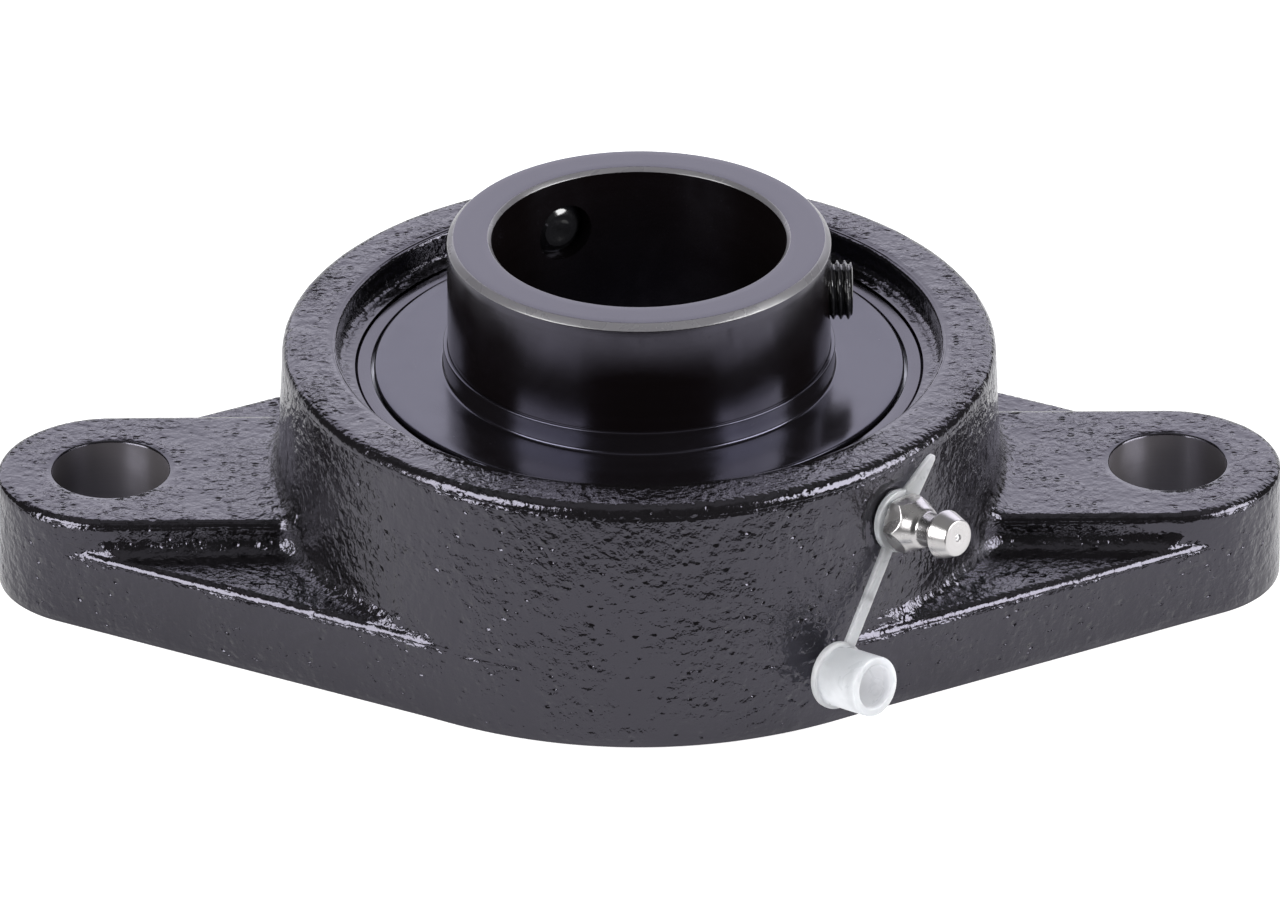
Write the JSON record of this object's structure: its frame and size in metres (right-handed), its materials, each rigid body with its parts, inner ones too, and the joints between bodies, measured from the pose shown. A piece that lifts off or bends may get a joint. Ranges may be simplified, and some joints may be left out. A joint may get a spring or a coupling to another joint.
{
  "type": "two-bolt flange bearing",
  "caption": "Oval flange bearing: a black cast housing with bolt holes, a self-aligning ball bearing with set screws for a shaft, and a grease nipple with a tethered dust cap.",
  "frame": {"origin": "on the shaft axis, in the plane of the mounting face, midway between the bolt holes", "axes": "+Z along the shaft axis away from the mounting face, +X along the line of the bolt holes, -Y towards the side with the grease nipple"},
  "size_m": [0.175, 0.1052, 0.0512],
  "materials": {
    "black_paint": "gloss",
    "ring_steel": "satin",
    "black_oxide": "polished",
    "ball_steel": "polished",
    "cage_steel": "satin",
    "seal_steel": "satin",
    "seal_rubber": "matte",
    "screw_steel": "satin",
    "nickel": "polished",
    "spring_steel": "satin",
    "cap_plastic": "satin"
  },
  "bodies": {
    "housing": {"housing": "black_paint", "grease_nipple": "nickel", "nipple_spring": "spring_steel"},
    "insert": {"outer_ring": "ring_steel", "seal_core_front": "seal_steel", "seal_core_rear": "seal_steel", "seal_lip_front": "seal_rubber", "seal_lip_rear": "seal_rubber"},
    "shaft_ring": {"inner_ring": "black_oxide", "slinger_front": "black_oxide", "slinger_rear": "black_oxide"},
    "cage": {"cage_front": "cage_steel", "cage_rear": "cage_steel", "cage_rivets": "cage_steel"},
    "screw_1": {"set_screw_1": "screw_steel"},
    "screw_2": {"set_screw_2": "screw_steel"},
    "check_ball": {"nipple_check_ball": "ball_steel"},
    "cap_ring": {"dust_cap_ring": "cap_plastic"},
    "cap_strap": {"dust_cap_strap": "cap_plastic"},
    "cap_cup": {"dust_cap_cup": "cap_plastic"},
    "rolling_ball_1": {"ball_1": "ball_steel"},
    "rolling_ball_2": {"ball_2": "ball_steel"},
    "rolling_ball_3": {"ball_3": "ball_steel"},
    "rolling_ball_4": {"ball_4": "ball_steel"},
    "rolling_ball_5": {"ball_5": "ball_steel"},
    "rolling_ball_6": {"ball_6": "ball_steel"},
    "rolling_ball_7": {"ball_7": "ball_steel"},
    "rolling_ball_8": {"ball_8": "ball_steel"},
    "rolling_ball_9": {"ball_9": "ball_steel"}
  },
  "joints": [
    {"name": "insert_tilt", "type": "hinge", "parent": "housing", "child": "insert", "pos_m": [0, 0, 0.021], "axis": [1, 0, 0], "range_deg": [-2, 2]},
    {"name": "shaft_spin", "type": "hinge", "parent": "insert", "child": "shaft_ring", "pos_m": [0, 0, 0.021], "axis": [0, 0, 1], "continuous": true},
    {"name": "cage_spin", "type": "hinge", "parent": "insert", "child": "cage", "pos_m": [0, 0, 0.021], "axis": [0, 0, 1], "continuous": true},
    {"name": "ball_1_spin", "type": "hinge", "parent": "cage", "child": "rolling_ball_1", "pos_m": [0.03, 0, 0.021], "axis": [0, 0, 1], "continuous": true},
    {"name": "ball_2_spin", "type": "hinge", "parent": "cage", "child": "rolling_ball_2", "pos_m": [0.02298, 0.01928, 0.021], "axis": [0, 0, 1], "continuous": true},
    {"name": "ball_3_spin", "type": "hinge", "parent": "cage", "child": "rolling_ball_3", "pos_m": [0.00521, 0.02954, 0.021], "axis": [0, 0, 1], "continuous": true},
    {"name": "ball_4_spin", "type": "hinge", "parent": "cage", "child": "rolling_ball_4", "pos_m": [-0.015, 0.02598, 0.021], "axis": [0, 0, 1], "continuous": true},
    {"name": "ball_5_spin", "type": "hinge", "parent": "cage", "child": "rolling_ball_5", "pos_m": [-0.02819, 0.01026, 0.021], "axis": [0, 0, 1], "continuous": true},
    {"name": "ball_6_spin", "type": "hinge", "parent": "cage", "child": "rolling_ball_6", "pos_m": [-0.02819, -0.01026, 0.021], "axis": [0, 0, 1], "continuous": true},
    {"name": "ball_7_spin", "type": "hinge", "parent": "cage", "child": "rolling_ball_7", "pos_m": [-0.015, -0.02598, 0.021], "axis": [0, 0, 1], "continuous": true},
    {"name": "ball_8_spin", "type": "hinge", "parent": "cage", "child": "rolling_ball_8", "pos_m": [0.00521, -0.02954, 0.021], "axis": [0, 0, 1], "continuous": true},
    {"name": "ball_9_spin", "type": "hinge", "parent": "cage", "child": "rolling_ball_9", "pos_m": [0.02298, -0.01928, 0.021], "axis": [0, 0, 1], "continuous": true},
    {"name": "screw_1_travel", "type": "slide", "parent": "shaft_ring", "child": "screw_1", "axis": [1, 0, 0], "range_m": [-0.00085, 0.0015]},
    {"name": "screw_2_travel", "type": "slide", "parent": "shaft_ring", "child": "screw_2", "axis": [-0.5, 0.866, 0], "range_m": [-0.00085, 0.0015]},
    {"name": "check_ball_travel", "type": "slide", "parent": "housing", "child": "check_ball", "axis": [0.6879, -0.7123, 0.1392], "range_m": [-0.001, 0], "stiffness_N_per_m": 100, "springref_m": 0.002, "deforming": ["nipple_spring"]},
    {"name": "cap_swivel", "type": "hinge", "parent": "housing", "child": "cap_ring", "pos_m": [0.03383, -0.03503, 0.02645], "axis": [0.6879, -0.7123, 0.1392], "range_deg": [-75, 15]},
    {"name": "strap_bend", "type": "hinge", "parent": "cap_ring", "child": "cap_strap", "pos_m": [0.03238, -0.03824, 0.02255], "axis": [-0.6199, -0.4768, 0.6232], "range_deg": [0, 90], "stiffness_Nm_per_rad": 0.0002},
    {"name": "cap_bend", "type": "hinge", "parent": "cap_strap", "child": "cap_cup", "pos_m": [0.02785, -0.04442, 0.01331], "axis": [-0.6199, -0.4768, 0.6232], "range_deg": [0, 90], "stiffness_Nm_per_rad": 0.0002}
  ],
  "couplings": [
    {"joint": "cage_spin", "follows": "shaft_spin", "ratio": 0.4},
    {"joint": "ball_1_spin", "follows": "shaft_spin", "ratio": -2.4},
    {"joint": "ball_2_spin", "follows": "shaft_spin", "ratio": -2.4},
    {"joint": "ball_3_spin", "follows": "shaft_spin", "ratio": -2.4},
    {"joint": "ball_4_spin", "follows": "shaft_spin", "ratio": -2.4},
    {"joint": "ball_5_spin", "follows": "shaft_spin", "ratio": -2.4},
    {"joint": "ball_6_spin", "follows": "shaft_spin", "ratio": -2.4},
    {"joint": "ball_7_spin", "follows": "shaft_spin", "ratio": -2.4},
    {"joint": "ball_8_spin", "follows": "shaft_spin", "ratio": -2.4},
    {"joint": "ball_9_spin", "follows": "shaft_spin", "ratio": -2.4}
  ]
}
